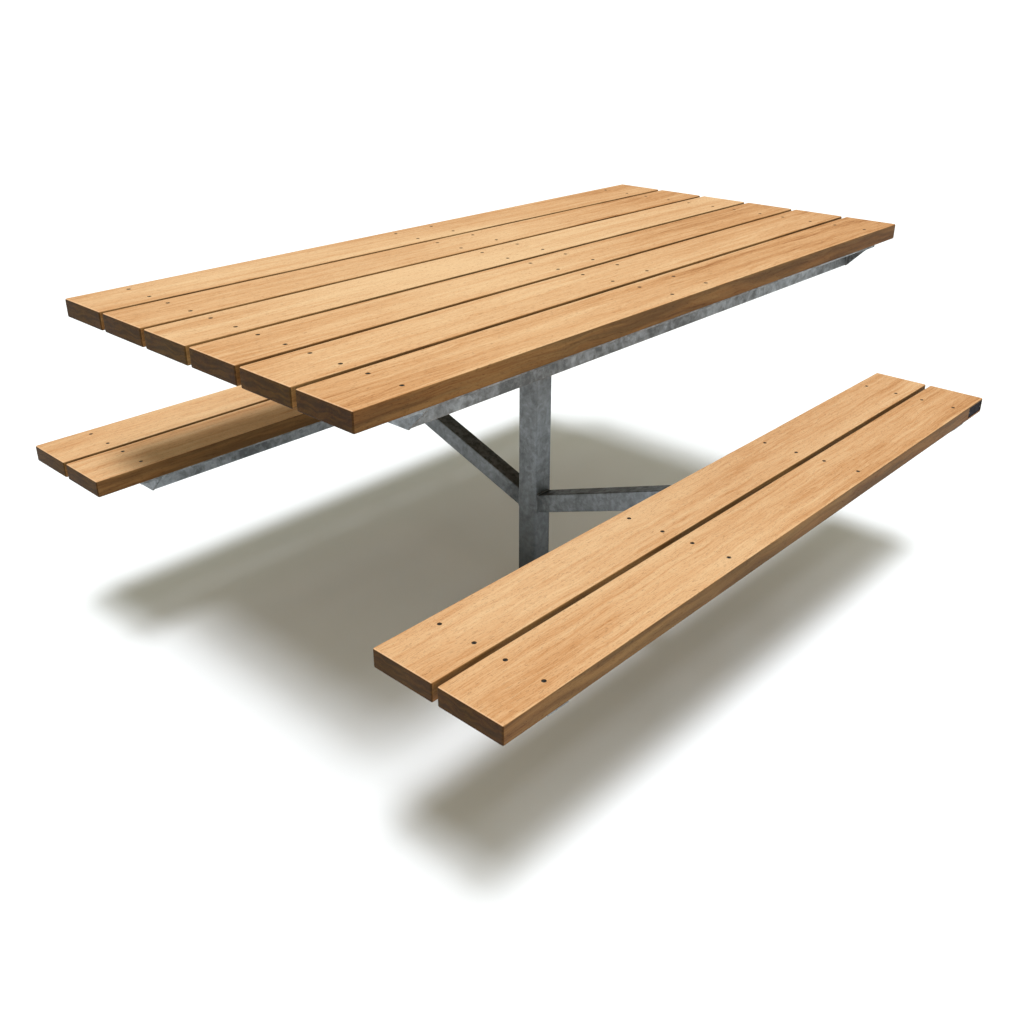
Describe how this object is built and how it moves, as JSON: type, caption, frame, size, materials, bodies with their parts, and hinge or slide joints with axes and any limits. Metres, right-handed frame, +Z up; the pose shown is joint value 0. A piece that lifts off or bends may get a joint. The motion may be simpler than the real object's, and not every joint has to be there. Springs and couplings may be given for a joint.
{
  "type": "picnic table",
  "caption": "Picnic table on one square steel post: a slatted wooden tabletop and two slatted benches carried by inclined steel arms.",
  "frame": {"origin": "on the ground, at the middle of the base plate's underside, under the post's centre line", "axes": "+X along the planks to the right-hand end, +Y across them towards the rear bench, +Z up"},
  "size_m": [1.56, 1.286, 0.8],
  "materials": {
    "timber": "planed and oiled hardwood, eased arrises",
    "galvanised_steel": "hot-dip galvanised, dull spangle",
    "fasteners": "weathered stainless steel",
    "name_plate": "dark satin, blank"
  },
  "bodies": {
    "root": {"base_gussets": "galvanised_steel", "base_plate": "galvanised_steel", "frame_bolt_nuts": "fasteners", "frame_bolt_washers": "fasteners", "frame_bolts": "fasteners", "front_bench_arm": "galvanised_steel", "front_bench_inner_rail_left": "galvanised_steel", "front_bench_inner_rail_right": "galvanised_steel", "front_bench_left_bearer": "galvanised_steel", "front_bench_middle_bearer_left": "galvanised_steel", "front_bench_middle_bearer_right": "galvanised_steel", "front_bench_outer_rail_left": "galvanised_steel", "front_bench_outer_rail_right": "galvanised_steel", "front_bench_plank_1": "timber", "front_bench_plank_2": "timber", "front_bench_right_bearer": "galvanised_steel", "front_bench_screw_nuts": "fasteners", "front_bench_screw_washers": "fasteners", "front_bench_screws": "fasteners", "front_bench_seat_tube": "galvanised_steel", "front_bench_seat_tube_cap": "galvanised_steel", "name_plate": "name_plate", "name_plate_pins": "fasteners", "post": "galvanised_steel", "post_cap": "galvanised_steel", "rear_bench_arm": "galvanised_steel", "rear_bench_inner_rail_left": "galvanised_steel", "rear_bench_inner_rail_right": "galvanised_steel", "rear_bench_left_bearer": "galvanised_steel", "rear_bench_middle_bearer_left": "galvanised_steel", "rear_bench_middle_bearer_right": "galvanised_steel", "rear_bench_outer_rail_left": "galvanised_steel", "rear_bench_outer_rail_right": "galvanised_steel", "rear_bench_plank_1": "timber", "rear_bench_plank_2": "timber", "rear_bench_right_bearer": "galvanised_steel", "rear_bench_screw_nuts": "fasteners", "rear_bench_screw_washers": "fasteners", "rear_bench_screws": "fasteners", "rear_bench_seat_tube": "galvanised_steel", "rear_bench_seat_tube_cap": "galvanised_steel", "table_front_rail": "galvanised_steel", "table_left_bearer": "galvanised_steel", "table_middle_bearer_left": "galvanised_steel", "table_middle_bearer_right": "galvanised_steel", "table_plank_1": "timber", "table_plank_2": "timber", "table_plank_3": "timber", "table_plank_4": "timber", "table_plank_5": "timber", "table_plank_6": "timber", "table_rear_rail": "galvanised_steel", "table_right_bearer": "galvanised_steel", "table_screw_nuts": "fasteners", "table_screw_washers": "fasteners", "table_screws": "fasteners"}
  },
  "joints": []
}
